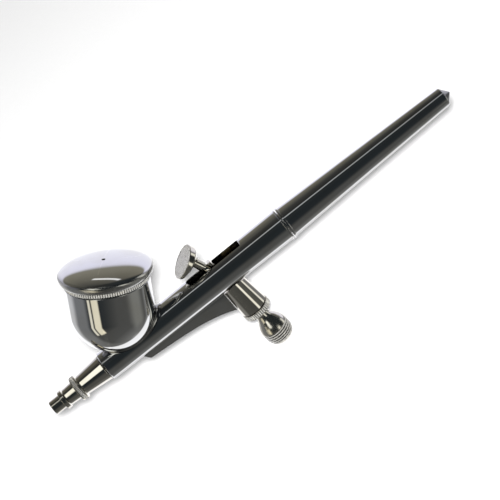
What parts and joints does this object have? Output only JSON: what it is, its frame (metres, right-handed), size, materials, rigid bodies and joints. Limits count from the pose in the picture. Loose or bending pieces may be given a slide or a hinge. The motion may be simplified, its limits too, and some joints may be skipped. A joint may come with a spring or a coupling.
{
  "type": "airbrush gun",
  "caption": "Gravity-fed double-action airbrush: leaning round-bottomed cup with a domed lid, finger trigger over an air valve, tapered handle.",
  "frame": {"origin": "where the air valve's axis meets the needle's axis, inside the body tube, where a holder's fork takes the airbrush", "axes": "+X along the needle towards the handle, +Z towards the cup and the trigger, +Y to the left seen from the nozzle"},
  "size_m": [0.1623, 0.0304, 0.0665],
  "materials": {
    "chrome": "mirror-polished chrome plate",
    "nickel": "polished warm nickel plate",
    "steel": "ground stainless steel",
    "brass": "machined brass",
    "seal_white": "white PTFE",
    "rubber_black": "black nitrile rubber"
  },
  "bodies": {
    "body": {"body_barrel": "chrome", "paint_cup": "chrome", "front_head": "nickel", "head_seal_ring": "seal_white", "fluid_nozzle": "brass", "needle_packing": "seal_white", "packing_screw": "brass", "needle_spring": "steel", "valve_casing": "nickel", "plunger_packing": "seal_white", "valve_spring": "steel", "valve_guide_screw": "nickel", "fitting_seal_washer": "rubber_black", "air_fitting": "nickel", "brace_fin": "chrome"},
    "lid": {"cup_lid": "chrome"},
    "air_cap": {"air_cap": "nickel"},
    "needle_cap": {"needle_cap": "nickel"},
    "handle": {"handle": "chrome"},
    "spring_case": {"spring_case": "brass"},
    "valve": {"valve_plunger": "steel", "valve_oring": "rubber_black"},
    "trigger": {"trigger_lever": "nickel", "trigger_pad": "nickel"},
    "needle_carriage": {"needle": "steel", "needle_chuck_guide": "brass", "auxiliary_lever": "nickel"},
    "chuck_nut": {"needle_chuck_nut": "brass"}
  },
  "joints": [
    {"name": "trigger_press", "type": "slide", "parent": "body", "child": "valve", "axis": [0.0819, 0, -0.9966], "range_m": [0, 0.002], "stiffness_N_per_m": 1200, "springref_m": -0.002, "deforming": ["valve_spring"]},
    {"name": "trigger_pull", "type": "hinge", "parent": "valve", "child": "trigger", "pos_m": [0.00025, 0, -0.003], "axis": [0, 1, 0], "range_deg": [0, 27]},
    {"name": "needle_draw", "type": "slide", "parent": "body", "child": "needle_carriage", "axis": [1, 0, 0], "range_m": [0, 0.0047], "stiffness_N_per_m": 100, "springref_m": -0.003, "deforming": ["needle_spring"]},
    {"name": "chuck_nut_turn", "type": "hinge", "parent": "needle_carriage", "child": "chuck_nut", "pos_m": [0.04, 0, 0], "axis": [1, 0, 0], "continuous": true},
    {"name": "spring_case_turn", "type": "hinge", "parent": "body", "child": "spring_case", "pos_m": [0.026, 0, 0], "axis": [1, 0, 0], "continuous": true},
    {"name": "handle_turn", "type": "hinge", "parent": "body", "child": "handle", "pos_m": [0.0256, 0, 0], "axis": [1, 0, 0], "continuous": true},
    {"name": "air_cap_turn", "type": "hinge", "parent": "body", "child": "air_cap", "pos_m": [-0.0576, 0, 0], "axis": [1, 0, 0], "continuous": true},
    {"name": "needle_cap_turn", "type": "hinge", "parent": "air_cap", "child": "needle_cap", "pos_m": [-0.0639, 0, 0], "axis": [1, 0, 0], "continuous": true},
    {"name": "lid_lift", "type": "slide", "parent": "body", "child": "lid", "axis": [0.4772, 0, 0.8788], "range_m": [0, 0.012]}
  ],
  "couplings": [
    {"joint": "trigger_pull", "follows": "needle_draw", "rad_per_m": 100}
  ]
}
